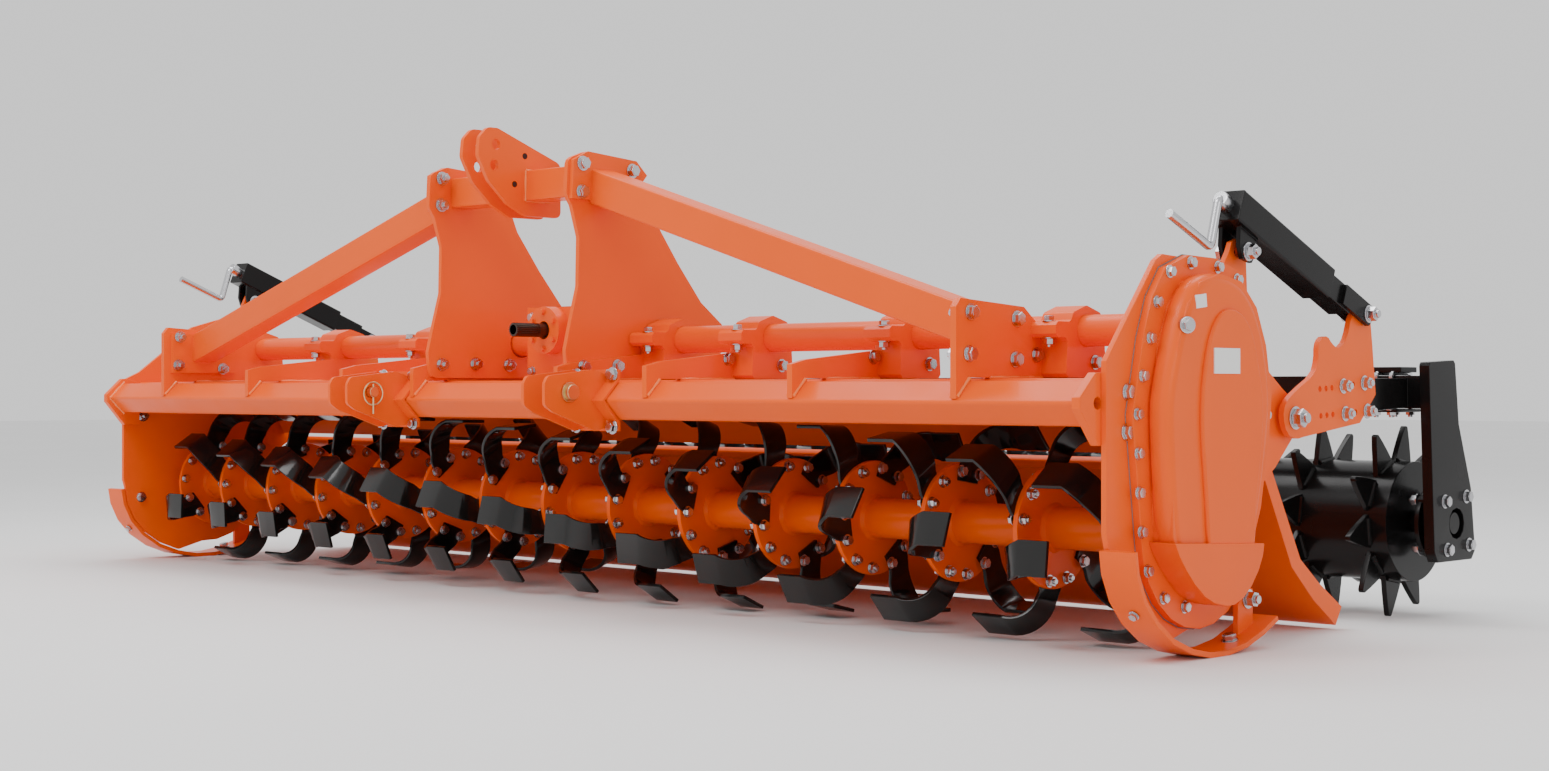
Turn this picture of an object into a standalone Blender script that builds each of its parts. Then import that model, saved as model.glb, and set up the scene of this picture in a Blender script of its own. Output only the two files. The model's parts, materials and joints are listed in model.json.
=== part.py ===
# Heavy rotary tiller (rotavator), mounted type, with a spiked rear roller.
# Metres, +Z up, +X to the machine's gear-case side, +Y to the rear.
# The origin is the middle of the machine's plan, on the floor it stands on.
import bpy
import bmesh
import math
from mathutils import Vector, Matrix

# ---------------------------------------------------------------- dimensions
P = 0.25               # pitch of the blade flanges along the rotor; the profile
                       # points below are given in flange pitches
AXIS_H = 0.235         # rotor axis above the floor
Y_SHIFT = -0.346       # from the rotor axis to the origin
GAP = 0.0003           # left between touching pieces

N_FLANGE = 15          # flanges on the rotor
FLANGE_R = 0.511
FLANGE_T = 0.050
BOLT_CIRCLE_R = 0.447
ROTOR_TUBE_R = 0.178
PHASE_MID = -26.0      # bolted base of the middle flange's blades that bend to -X, in
PHASE_STEP = -9.25     # degrees above forward, the step from flange to flange, and how
PHASE_GROW = -0.347    # the step grows along the rotor

PLATE_X = 7.30         # outer face of the side plates
PLATE_T = 0.05
BEAM_Y, BEAM_Z, BEAM_D = -1.136, 1.043, 0.187   # front beam: centre and half diagonal
TUBE_Y, TUBE_Z, TUBE_R = 0.06, 1.63, 0.132      # cross tubes
MAST_X = 1.10          # outer face of a mast plate
DECK_Z = 1.235         # top face of the deck
ROLL_Y, ROLL_Z = 3.81, -0.062                   # roller axis
ROLL_TUBE_R, ROLL_TIP_R = 0.55, 0.8824
ARM_Y, ARM_Z = 1.42, 0.91                       # pivot of the roller arms
JACK_Y, JACK_Z = 0.70, 2.26                     # upper pin of the screw jacks
EYE_Y, EYE_Z = 2.54, 1.80                       # lower pin of the screw jacks
FLAP_Y, FLAP_Z = 1.21, 0.52                     # hinge of the trailing board
PTO_Z = 1.74

# ---------------------------------------------------------------- scene
for ob in list(bpy.data.objects):
    bpy.data.objects.remove(ob, do_unlink=True)
PART = bpy.data.collections.new("rotavator")
bpy.context.scene.collection.children.link(PART)


def material(name, rgb, rough, metal):
    m = bpy.data.materials.new(name)
    m.use_nodes = True
    b = m.node_tree.nodes["Principled BSDF"]
    b.inputs["Base Color"].default_value = (rgb[0], rgb[1], rgb[2], 1.0)
    b.inputs["Roughness"].default_value = rough
    b.inputs["Metallic"].default_value = metal
    m.diffuse_color = (rgb[0], rgb[1], rgb[2], 1.0)
    return m


ORANGE = material("orange_paint", (0.90, 0.16, 0.015), 0.32, 0.0)
BLACK = material("black_paint", (0.02, 0.019, 0.018), 0.35, 0.0)
STEEL = material("bright_steel", (0.72, 0.72, 0.72), 0.28, 1.0)
DARK = material("dark_steel", (0.05, 0.04, 0.035), 0.4, 0.8)
BRASS = material("yellow_zinc", (0.70, 0.52, 0.26), 0.35, 1.0)

ORIGIN = Vector((0.0, Y_SHIFT, AXIS_H))


def at(x, y, z):
    """Flange pitches from the rotor axis to metres in the part's frame."""
    return Vector((x * P, y * P, z * P)) + ORIGIN


def link(ob, mat):
    PART.objects.link(ob)
    ob.data.materials.clear()
    ob.data.materials.append(mat)
    return ob


def from_bmesh(name, bm, mat):
    bmesh.ops.recalc_face_normals(bm, faces=bm.faces)
    me = bpy.data.meshes.new(name)
    bm.to_mesh(me)
    bm.free()
    return link(bpy.data.objects.new(name, me), mat)


def bake(ob):
    """Replace an object by its evaluated mesh, welded, in world space."""
    bpy.context.view_layer.update()
    dg = bpy.context.evaluated_depsgraph_get()
    me = bpy.data.meshes.new_from_object(ob.evaluated_get(dg), depsgraph=dg)
    bm = bmesh.new()
    bm.from_mesh(me)
    bm.transform(ob.matrix_world)
    bmesh.ops.remove_doubles(bm, verts=bm.verts, dist=2e-6)
    bmesh.ops.recalc_face_normals(bm, faces=bm.faces)
    bm.to_mesh(me)
    bm.free()
    name, mat = ob.name, ob.data.materials[0]
    bpy.data.objects.remove(ob, do_unlink=True)
    new = bpy.data.objects.new(name, me)
    me.name = name
    me.materials.clear()
    me.materials.append(mat)
    PART.objects.link(new)
    return new


def combine(a, b, how="UNION"):
    """Boolean of two mesh objects; the second one is used up."""
    md = a.modifiers.new("bool", "BOOLEAN")
    md.operation = how
    md.solver = "EXACT"
    md.object = b
    bpy.context.view_layer.update()
    dg = bpy.context.evaluated_depsgraph_get()
    me = bpy.data.meshes.new_from_object(a.evaluated_get(dg), depsgraph=dg)
    a.modifiers.clear()
    bm = bmesh.new()
    bm.from_mesh(me)
    bmesh.ops.remove_doubles(bm, verts=bm.verts, dist=2e-6)
    bmesh.ops.dissolve_degenerate(bm, dist=2e-6, edges=bm.edges)
    bm.to_mesh(me)
    bm.free()
    mat = a.data.materials[0]
    a.data = me
    me.materials.clear()
    me.materials.append(mat)
    bpy.data.objects.remove(b, do_unlink=True)
    return a


def join_all(first, others):
    for o in others:
        combine(first, o)
    return first


def fillet(pts, r, n=3):
    """Round the corners of a closed outline. r is one radius or one a corner."""
    out = []
    m = len(pts)
    for i in range(m):
        p, a, b = Vector(pts[i]), Vector(pts[i - 1]), Vector(pts[(i + 1) % m])
        ri = r[i] if isinstance(r, (list, tuple)) else r
        u, v = (a - p), (b - p)
        lu, lv = u.length, v.length
        if ri <= 0 or lu < 1e-9 or lv < 1e-9:
            out.append(tuple(p))
            continue
        u, v = u / lu, v / lv
        ang = math.acos(max(-1.0, min(1.0, u.dot(v))))
        if ang > math.radians(172):
            out.append(tuple(p))
            continue
        t = min(ri / math.tan(ang / 2), 0.48 * lu, 0.48 * lv)
        rr = t * math.tan(ang / 2)
        c = p + (u + v).normalized() * (rr / math.sin(ang / 2))
        s, e = p + u * t, p + v * t
        a0 = math.atan2(s.y - c.y, s.x - c.x)
        a1 = math.atan2(e.y - c.y, e.x - c.x)
        d = (a1 - a0 + math.pi) % (2 * math.pi) - math.pi
        for k in range(n + 1):
            aa = a0 + d * k / n
            out.append((c.x + rr * math.cos(aa), c.y + rr * math.sin(aa)))
    return out


def arc(cy, cz, r, a0, a1, n):
    return [(cy + r * math.cos(math.radians(a0 + (a1 - a0) * k / n)),
             cz + r * math.sin(math.radians(a0 + (a1 - a0) * k / n))) for k in range(n + 1)]


def circle(cy, cz, r, n=12):
    return [(cy + r * math.cos(2 * math.pi * k / n), cz + r * math.sin(2 * math.pi * k / n)) for k in range(n)]


def flat(name, outline, x0, x1, mat, holes=(), plane="YZ"):
    """Flat piece cut to an outline (in flange pitches), x0 to x1 thick."""
    cu = bpy.data.curves.new(name, "CURVE")
    cu.dimensions = "2D"
    cu.fill_mode = "BOTH"
    cu.extrude = abs(x1 - x0) * P / 2
    for pts in [outline] + list(holes):
        sp = cu.splines.new("POLY")
        sp.points.add(len(pts) - 1)
        for q, (u, v) in zip(sp.points, pts):
            q.co = (u * P, v * P, 0.0, 1.0)
        sp.use_cyclic_u = True
    ob = bpy.data.objects.new(name, cu)
    PART.objects.link(ob)
    cu.materials.append(mat)
    mid = (x0 + x1) * P / 2
    if plane == "YZ":      # u along +Y, v along +Z, thickness along +X
        rot = Matrix(((0, 0, 1), (1, 0, 0), (0, 1, 0))).to_4x4()
        ob.matrix_world = Matrix.Translation(ORIGIN + Vector((mid, 0, 0))) @ rot
    elif plane == "XZ":    # u along +X, v along +Z, thickness along -Y
        rot = Matrix(((1, 0, 0), (0, 0, -1), (0, 1, 0))).to_4x4()
        ob.matrix_world = Matrix.Translation(ORIGIN + Vector((0, mid, 0))) @ rot
    return bake(ob)


def band(path, t, side=1):
    """Closed outline of a strip of thickness t along a path, on one side of it."""
    off = []
    m = len(path)
    for i in range(m):
        a = Vector(path[max(i - 1, 0)])
        b = Vector(path[min(i + 1, m - 1)])
        d = (b - a).normalized()
        nrm = Vector((-d.y, d.x)) * side
        off.append(tuple(Vector(path[i]) + nrm * t))
    return list(path) + off[::-1]


def box(name, x0, x1, y0, y1, z0, z1, mat):
    bm = bmesh.new()
    bmesh.ops.create_cube(bm, size=1.0)
    sc = Vector((abs(x1 - x0), abs(y1 - y0), abs(z1 - z0))) * P
    bmesh.ops.scale(bm, vec=sc, verts=bm.verts)
    bmesh.ops.translate(bm, vec=at((x0 + x1) / 2, (y0 + y1) / 2, (z0 + z1) / 2), verts=bm.verts)
    return from_bmesh(name, bm, mat)


def rod(name, a, b, r, mat, seg=16, r2=None):
    """Round bar or cone between two points given in flange pitches."""
    pa, pb = at(*a), at(*b)
    d = pb - pa
    bm = bmesh.new()
    bmesh.ops.create_cone(bm, cap_ends=True, cap_tris=False, segments=seg, radius1=r * P,
                          radius2=(r if r2 is None else r2) * P, depth=d.length)
    q = Vector((0, 0, 1)).rotation_difference(d.normalized()).to_matrix().to_4x4()
    spin = Matrix.Rotation(math.pi / seg, 4, "Z")
    bmesh.ops.transform(bm, matrix=Matrix.Translation((pa + pb) / 2) @ q @ spin, verts=bm.verts)
    return from_bmesh(name, bm, mat)


def bar(name, a, b, w, h, mat, up=(0, 0, 1), chamfer=0.0, hollow=0.0):
    """Square bar from a to b; w across, h along up. hollow is the wall thickness."""
    pa, pb = at(*a), at(*b)
    d = (pb - pa)
    ln = d.length
    ez = d.normalized()
    ex = Vector(up).cross(ez).normalized()
    ey = ez.cross(ex)
    frame = Matrix((ex, ey, ez)).transposed().to_4x4()
    bm = bmesh.new()
    bmesh.ops.create_cube(bm, size=1.0)
    bmesh.ops.scale(bm, vec=Vector((w * P, h * P, ln)), verts=bm.verts)
    if chamfer > 0:
        es = [e for e in bm.edges if abs(e.verts[0].co.z - e.verts[1].co.z) > ln / 2]
        bmesh.ops.bevel(bm, geom=es, offset=chamfer * P, segments=2, profile=0.5, affect="EDGES")
    bmesh.ops.transform(bm, matrix=Matrix.Translation((pa + pb) / 2) @ frame, verts=bm.verts)
    ob = from_bmesh(name, bm, mat)
    if hollow > 0:
        u = (Vector(b) - Vector(a)).normalized() * 0.2
        cut = bar(name + "_bore", Vector(a) - u, Vector(b) + u, w - 2 * hollow, h - 2 * hollow, mat, up)
        combine(ob, cut, "DIFFERENCE")
    return ob


def drill(ob, a, b, r, seg=12):
    return combine(ob, rod("cut", a, b, r, ORANGE, seg), "DIFFERENCE")


def mirrored(ob, name):
    """The same piece on the other side of the machine."""
    bm = bmesh.new()
    bm.from_mesh(ob.data)
    bmesh.ops.scale(bm, vec=Vector((-1, 1, 1)), verts=bm.verts)
    bmesh.ops.reverse_faces(bm, faces=bm.faces)
    mat = ob.data.materials[0]
    me = bpy.data.meshes.new(name)
    bm.to_mesh(me)
    bm.free()
    return link(bpy.data.objects.new(name, me), mat)


g = GAP / P            # the gap in flange pitches

# ---------------------------------------------------------------- front beam
# Square tube laid on its edge, with an arrow-shaped plate welded on each end.
d = BEAM_D
dia = [(BEAM_Y - d, BEAM_Z), (BEAM_Y, BEAM_Z + d), (BEAM_Y + d, BEAM_Z), (BEAM_Y, BEAM_Z - d)]
di = d - 0.045
inner = [(BEAM_Y - di, BEAM_Z), (BEAM_Y, BEAM_Z + di), (BEAM_Y + di, BEAM_Z), (BEAM_Y, BEAM_Z - di)]
beam = flat("front_beam", fillet(dia, 0.03, 2), -7.19, 7.19, ORANGE, [inner])
arrow = [(-1.365, 1.085), (-1.365, 1.0), (-1.13, 0.72), (-0.93, 0.72), (-0.93, 1.225), (-1.09, 1.275), (-1.16, 1.275)]
for s in (-1, 1):
    x0, x1 = (7.17, 7.25 - g) if s > 0 else (-7.25 + g, -7.17)
    combine(beam, flat("end", arrow, x0, x1, ORANGE, [circle(-1.136, 1.043, 0.05, 8)]))

# ---------------------------------------------------------------- deck
# Sheet over the rotor, from the beam's back to the hinge of the trailing board.
deck_path = [(-0.926, 0.86), (-0.926, DECK_Z - 0.05), (-0.88, DECK_Z), (0.62, DECK_Z), (0.98, 1.0), (1.19, 0.60)]
deck = flat("deck", band(deck_path, 0.028, -1), -7.25 + g, 7.25 - g, ORANGE)

# ---------------------------------------------------------------- side plates
runner = [(-1.13, -0.07), (-1.10, -0.25), (-1.0, -0.46), (-0.84, -0.64), (-0.62, -0.79), (-0.36, -0.89), (-0.10, -0.94),
          (0.16, -0.94), (0.42, -0.90), (0.66, -0.82), (0.88, -0.72)]
SKID_T = 0.045
side = [(-1.07, -0.05), (-1.10, 0.05), (-1.10, 1.36), (-1.02, 1.46), (-0.45, 2.15), (-0.36, 2.20), (0.28, 2.17), (0.50, 2.15),
        (0.58, 2.26), (0.62, 2.34), (0.70, 2.37), (0.78, 2.34), (0.83, 2.26), (0.85, 1.95), (0.92, 1.74),
        (1.0, 1.47), (1.14, 1.32), (1.38, 1.16), (1.52, 1.08), (1.60, 0.92), (1.55, 0.74), (1.28, 0.50), (1.06, 0.36)]
side += arc(0.05, 0.05, 0.80, -2, -95, 6)
side += [p for p in band(runner, SKID_T + 0.012, 1)[len(runner):][::-1]][1:6][::-1]
side_r = flat("side_plate_right", side, 7.25, PLATE_X, ORANGE, [circle(0, 0, 0.20, 16), circle(JACK_Y, JACK_Z, 0.045, 8),
                                                                circle(ARM_Y, ARM_Z, 0.065, 10)])
# The left plate has no gear case behind it, so its front edge slopes back lower.
cut_a, cut_b = side.index((-1.10, 1.36)), side.index((0.58, 2.26))
low_side = side[:cut_a] + [(-1.10, 1.26), (-0.885, 1.357), (-0.567, 1.598), (-0.34, 1.79), (-0.164, 1.918), (0.147, 2.006),
                           (0.50, 2.10)] + side[cut_b:]
side_l = flat("side_plate_left", low_side, -PLATE_X, -7.25, ORANGE, [circle(0, 0, 0.20, 16), circle(JACK_Y, JACK_Z, 0.045, 8),
                                                                    circle(ARM_Y, ARM_Z, 0.065, 10)])

# ---------------------------------------------------------------- gear case
flange_out = [(-0.86, 0.95), (-0.72, 1.55), (-0.60, 1.86), (-0.42, 2.09), (-0.10, 2.20), (0.30, 2.19), (0.62, 2.10),
              (0.80, 1.85), (0.92, 1.55), (1.04, 1.20), (1.06, 0.90), (0.97, 0.55), (0.90, 0.20)]
flange_out += arc(0.05, 0.06, 0.80, 0, -180, 12)
cover_out = [(-0.62, 0.95), (-0.53, 1.50), (-0.40, 1.80), (-0.22, 1.98), (0.05, 2.05), (0.36, 2.0), (0.58, 1.80),
             (0.72, 1.50), (0.80, 1.10), (0.76, 0.75), (0.64, 0.20)]
cover_out += [(0.56, 0.02), (0.54, -0.14), (0.48, -0.27), (0.39, -0.37), (0.28, -0.45), (0.17, -0.49), (0.05, -0.495),
              (-0.09, -0.465), (-0.23, -0.405), (-0.365, -0.30), (-0.47, -0.19), (-0.55, -0.09), (-0.60, 0.02)]
case = flat("gear_case", flange_out, PLATE_X + g, PLATE_X + 0.07, ORANGE)
combine(case, flat("c", cover_out, PLATE_X + 0.05, 7.56, ORANGE))

# Pan that shields the lower end of the case.
pan_out = [(-0.655, -0.02), (-0.592, -0.125), (-0.50, -0.235), (-0.39, -0.345), (-0.25, -0.45), (-0.10, -0.515), (0.05, -0.545),
           (0.18, -0.54), (0.30, -0.495), (0.42, -0.405), (0.52, -0.29), (0.58, -0.18), (0.604, -0.08)]
pan_in = [(-0.62, -0.02), (-0.565, -0.11), (-0.478, -0.215), (-0.372, -0.32), (-0.236, -0.42), (-0.09, -0.484), (0.05, -0.514),
          (0.17, -0.508), (0.285, -0.468), (0.396, -0.385), (0.49, -0.275), (0.548, -0.17), (0.572, -0.06)]
pan = flat("case_guard", pan_out, PLATE_X + 0.07 + g, 7.615, ORANGE)
combine(pan, flat("cut", pan_in + [(0.572, 0.2), (-0.62, 0.2)], PLATE_X, 7.59, ORANGE), "DIFFERENCE")

# ---------------------------------------------------------------- skids
skid_r = flat("skid_right", band(runner, SKID_T, 1), 7.25, 7.575, ORANGE)
combine(skid_r, flat("web", [(0.52, -0.85), (0.74, -0.77), (0.74, -0.46), (0.64, -0.46), (0.52, -0.58)],
                     PLATE_X + 0.07 + g, PLATE_X + 0.12, ORANGE))
skid_l = mirrored(skid_r, "skid_left")

# ---------------------------------------------------------------- mast
mast = [(-1.13, 1.262), (-1.16, 1.52), (-1.10, 1.76), (-1.0, 2.13), (-0.99, 2.60), (-1.08, 2.90), (-1.15, 3.0),
        (-1.13, 3.34), (-0.92, 3.42), (-0.33, 3.37), (-0.18, 3.22), (0.0, 2.80), (0.30, 2.40), (0.62, 2.02),
        (0.92, 1.80), (1.0, 1.60), (0.60, 1.262)]
hole = circle(TUBE_Y, TUBE_Z, TUBE_R + 0.02, 16)
mast_r = flat("mast_plate_right", fillet(mast, 0.08, 2), MAST_X - 0.05, MAST_X, ORANGE, [hole])
mast_l = mirrored(mast_r, "mast_plate_left")

# ---------------------------------------------------------------- deck ribs, with the clamps of the cross tubes
# Each rib stands on the deck and the beam's upper face, and carries a split clamp.
foot = [(BEAM_Y - d + 0.014, BEAM_Z + 0.030), (BEAM_Y - 0.004, BEAM_Z + d + 0.012), (-0.90, DECK_Z + 0.006),
        (0.34, DECK_Z + 0.006)]


def rib(name, x0, x1, top, clamp_x0, clamp_x1):
    ob = flat(name, [(foot[0][0], foot[0][1])] + foot[1:] + top, x0, x1, ORANGE)
    blk = fillet([(-0.22, DECK_Z + 0.010), (0.33, DECK_Z + 0.010), (0.31, 1.55), (0.26, 1.78), (0.06, 1.84), (-0.12, 1.78),
                  (-0.16, 1.70), (-0.36, 1.70), (-0.36, 1.57), (-0.20, 1.57)], 0.03, 1)
    c = flat("c", blk, clamp_x0 + 0.012, clamp_x1, ORANGE)
    combine(ob, c)
    lo, hi = min(x0, clamp_x0) - 0.1, max(x1, clamp_x1) + 0.1
    drill(ob, (lo, TUBE_Y, TUBE_Z), (hi, TUBE_Y, TUBE_Z), TUBE_R + g, 20)
    return ob


low_top = [(0.34, 1.40), (0.20, 1.50), (-0.12, 1.50), (-1.13, 1.40), (foot[0][0], 1.36)]
lug_top = [(0.34, 1.40), (0.20, 1.43), (-0.10, 1.46), (-0.20, 1.64), (-0.44, 1.82), (-1.25, 1.87), (foot[0][0], 1.80)]
rib_r1 = rib("mast_rib_right", MAST_X + g, MAST_X + 0.06, low_top, MAST_X + g, MAST_X + 0.34)
rib_r2 = rib("deck_rib_right_1", 2.34, 2.40, low_top, 2.34, 2.66)
rib_r3 = rib("deck_rib_right_2", 4.16, 4.22, low_top, 4.16, 4.48)
rib_r4 = rib("brace_lug_right", 5.95, 6.01, lug_top, 5.95, 6.27)
mirrored(rib_r1, "mast_rib_left")
mirrored(rib_r2, "deck_rib_left_1")
mirrored(rib_r3, "deck_rib_left_2")
mirrored(rib_r4, "brace_lug_left")

# ---------------------------------------------------------------- gearbox and cross tubes
gbox = box("gearbox", -0.42, 0.42, -0.38, 0.50, DECK_Z + 0.006, 1.98, ORANGE)
combine(gbox, rod("neck", (0, -0.52, PTO_Z), (0, -0.36, PTO_Z), 0.24, ORANGE, 20))
for s in (-1, 1):
    combine(gbox, rod("hub", (s * 0.40, TUBE_Y, TUBE_Z), (s * 0.62, TUBE_Y, TUBE_Z), 0.26, ORANGE, 20))
combine(gbox, rod("filler", (0, 0.1, 1.95), (0, 0.1, 2.06), 0.10, ORANGE, 12))
drill(gbox, (0, -0.6, PTO_Z), (0, 0.2, PTO_Z), 0.09, 16)
pto = rod("pto_shaft", (0, -0.907, PTO_Z), (0, 0.15, PTO_Z), 0.07, DARK, 16)

tube = rod("cross_tube_right", (0.62 + g, TUBE_Y, TUBE_Z), (7.25 - g, TUBE_Y, TUBE_Z), TUBE_R, ORANGE, 20)
drill(tube, (0.4, TUBE_Y, TUBE_Z), (7.5, TUBE_Y, TUBE_Z), TUBE_R - 0.02, 16)
mirrored(tube, "cross_tube_left")

# ---------------------------------------------------------------- top link bracket
cheek = [(-1.46, 3.42), (-1.44, 3.60), (-1.34, 3.70), (-1.22, 3.70), (-0.42, 3.40), (-0.42, 2.86), (-0.87, 2.86),
         (-1.10, 2.97), (-1.33, 3.18)]
cheek = fillet(cheek, [0.10, 0.08, 0.08, 0.10, 0.08, 0.06, 0.06, 0.10, 0.15], 3)
ch_holes = [circle(-1.24, 3.54, 0.055, 10), circle(-1.26, 3.335, 0.055, 10)]
top = flat("top_link_bracket", cheek, 0.10, 0.15, ORANGE, ch_holes)
combine(top, flat("c", cheek, -0.15, -0.10, ORANGE, ch_holes))
combine(top, bar("s", (-(MAST_X - 0.05) + g, -0.72, 3.16), (MAST_X - 0.05 - g, -0.72, 3.16), 0.30, 0.30, ORANGE, (0, 0, 1), 0.02))

# ---------------------------------------------------------------- braces
head = [(-1.12, 2.96), (-1.10, 3.33), (-0.92, 3.42), (-0.30, 3.37), (-0.16, 3.24), (-0.40, 2.96)]
heel = [(-1.22, 1.34), (-1.22, 1.80), (-0.42, 1.78), (-0.36, 1.34)]
brace = flat("brace_right", head, MAST_X + g, MAST_X + 0.05, ORANGE)
B0, B1 = Vector((MAST_X, -0.72, 3.10)), Vector((5.95, -0.80, 1.62))
bd = (B1 - B0).normalized() * 0.3
tube_b = bar("b", B0 - bd, B1 + bd, 0.32, 0.32, ORANGE, (0, 0, 1), 0.03)
combine(tube_b, box("cut", 0.5, MAST_X + 0.03, -2, 1, 2, 4, ORANGE), "DIFFERENCE")
combine(tube_b, box("cut", 5.93, 6.8, -2, 1, 1, 3, ORANGE), "DIFFERENCE")
combine(brace, tube_b)
combine(brace, flat("h", heel, 5.90, 5.95 - g, ORANGE))
mirrored(brace, "brace_left")

# ---------------------------------------------------------------- lower hitch brackets
JAW_R = [0.06, 0.06, 0.06, 0, 0, 0, 0, 0, 0.04, 0.10, 0.06]
jaw = [(-1.92, 1.20), (-1.88, 1.27), (-1.33, 1.33), (-1.14, 1.27), (-1.14, BEAM_Z + d + 0.01), (BEAM_Y - d - 0.006, BEAM_Z),
       (-1.14, BEAM_Z - d - 0.01), (-1.14, 0.80), (-1.30, 0.76), (-1.82, 0.94), (-1.92, 1.0)]
jaw = fillet(jaw, JAW_R, 3)
hb = flat("hitch_bracket_right", jaw, 1.67, 1.71, ORANGE, [circle(-1.64, 1.12, 0.062, 12)])
combine(hb, flat("j", jaw, 1.37, 1.41, ORANGE, [circle(-1.64, 1.12, 0.062, 12)]))
strap = [(-1.14, 1.33), (-1.14, BEAM_Z + d + 0.01), (BEAM_Y - d - 0.006, BEAM_Z), (-1.14, BEAM_Z - d - 0.01), (-1.14, 0.76),
         (-1.17, 0.76), (-1.17, BEAM_Z - d - 0.01), (BEAM_Y - d - 0.04, BEAM_Z), (-1.17, BEAM_Z + d + 0.01), (-1.17, 1.33)]
combine(hb, flat("s", strap, 1.22, 1.86, ORANGE))
mirrored(hb, "hitch_bracket_left")
pin = rod("hitch_pin_right", (1.30, -1.64, 1.12), (1.78, -1.64, 1.12), 0.056, BRASS, 12)
mirrored(pin, "hitch_pin_left")

# ---------------------------------------------------------------- rotor
rt = rod("rotor_tube", (-7.12, 0, 0), (7.12, 0, 0), ROTOR_TUBE_R, ORANGE, 16)
combine(rt, rod("j", (-7.30, 0, 0), (7.30, 0, 0), 0.10, ORANGE, 16))


def blade(side_sign, angle):
    """C-type blade: bolted base on the flange's face, swept arm, tip bent sideways."""
    t = 0.034
    x_face = FLANGE_T / 2 + t / 2 - 0.004
    bend, reach, r_mid = 0.24, 0.53, 0.85
    # (sideways, radius, lean in degrees, width, tilt of the width in degrees)
    stations = [(x_face, 0.35, 0.0, 0.25, 0.0), (x_face, r_mid - bend, 9.0, 0.27, 5.0)]
    for k in (1, 2):
        a = math.radians(45.0 * k)
        stations.append((x_face + bend * (1 - math.cos(a)), r_mid - bend + bend * math.sin(a), 9.0 + 6.0 * k, 0.29, 5.0 + 7.0 * k))
    stations.append((x_face + reach, r_mid, 21.0, 0.29, 19.0))
    bm = bmesh.new()
    bmesh.ops.create_grid(bm, x_segments=1, y_segments=len(stations) - 1, size=1.0)
    for v in bm.verts:
        k = int(round((v.co.y + 1.0) / 2.0 * (len(stations) - 1)))
        x, r, lean, wid, tilt = stations[k]
        th, ti = math.radians(lean), math.radians(tilt)
        rad = Vector((0.0, math.sin(th), math.cos(th)))
        tan = Vector((0.0, math.cos(th), -math.sin(th)))
        p = rad * r + (tan * math.cos(ti) - rad * math.sin(ti)) * (v.co.x * wid / 2)
        v.co = Vector((side_sign * x, p.y, p.z)) * P
    bmesh.ops.rotate(bm, cent=(0, 0, 0), matrix=Matrix.Rotation(math.radians(angle), 3, "X"), verts=bm.verts)
    me = bpy.data.meshes.new("blade")
    bm.to_mesh(me)
    bm.free()
    ob = bpy.data.objects.new("blade", me)
    link(ob, BLACK)
    md = ob.modifiers.new("thick", "SOLIDIFY")
    md.thickness = t * P
    md.offset = 0.0
    return bake(ob)


def station_mesh(name, sides):
    bm = bmesh.new()
    bmesh.ops.create_cone(bm, cap_ends=True, segments=18, radius1=FLANGE_R * P, radius2=FLANGE_R * P, depth=FLANGE_T * P)
    bmesh.ops.rotate(bm, cent=(0, 0, 0), matrix=Matrix.Rotation(math.pi / 2, 3, "Y"), verts=bm.verts)
    ob = from_bmesh(name, bm, BLACK)
    for k, sgn in enumerate(sides):
        if sgn:
            combine(ob, blade(sgn, 60.0 * k))
    bm = bmesh.new()
    r = (ROTOR_TUBE_R + g) * P / math.cos(math.pi / 12)
    bmesh.ops.create_cone(bm, cap_ends=True, segments=12, radius1=r, radius2=r, depth=0.2)
    bmesh.ops.rotate(bm, cent=(0, 0, 0), matrix=Matrix.Rotation(math.pi / 2, 3, "Y"), verts=bm.verts)
    combine(ob, from_bmesh("bore", bm, BLACK), "DIFFERENCE")
    return ob


proto_mid = station_mesh("proto_mid", (1, -1, 1, -1, 1, -1))
proto_l = station_mesh("proto_l", (1, 0, 1, 0, 1, 0))
proto_r = station_mesh("proto_r", (0, -1, 0, -1, 0, -1))
rotor_empty = bpy.data.objects.new("rotor_axis", None)
PART.objects.link(rotor_empty)
rotor_empty.location = at(0, 0, 0)
for i in range(N_FLANGE):
    proto = proto_l if i == 0 else proto_r if i == N_FLANGE - 1 else proto_mid
    ob = bpy.data.objects.new("blade_flange_%02d" % (i + 1), proto.data)
    PART.objects.link(ob)
    x = i - 7 - (0.03 if i else -0.05)
    if i == N_FLANGE - 1:
        x -= 0.02
    ob.parent = rotor_empty
    ob.location = Vector((x * P, 0, 0))
    t = i - 7
    ob.rotation_euler = (math.radians(30.0 - (PHASE_MID + PHASE_STEP * t + PHASE_GROW * t * t)), 0, 0)
for p in (proto_mid, proto_l, proto_r):
    bpy.data.objects.remove(p, do_unlink=True)

hub = rod("rotor_bearing_left", (-7.30 - g, 0, 0), (-7.46, 0, 0), 0.36, ORANGE, 20)
combine(hub, rod("h", (-7.44, 0, 0), (-7.56, 0, 0), 0.20, ORANGE, 16))
drill(hub, (-7.2, 0, 0), (-7.42, 0, 0), 0.13, 16)

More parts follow.
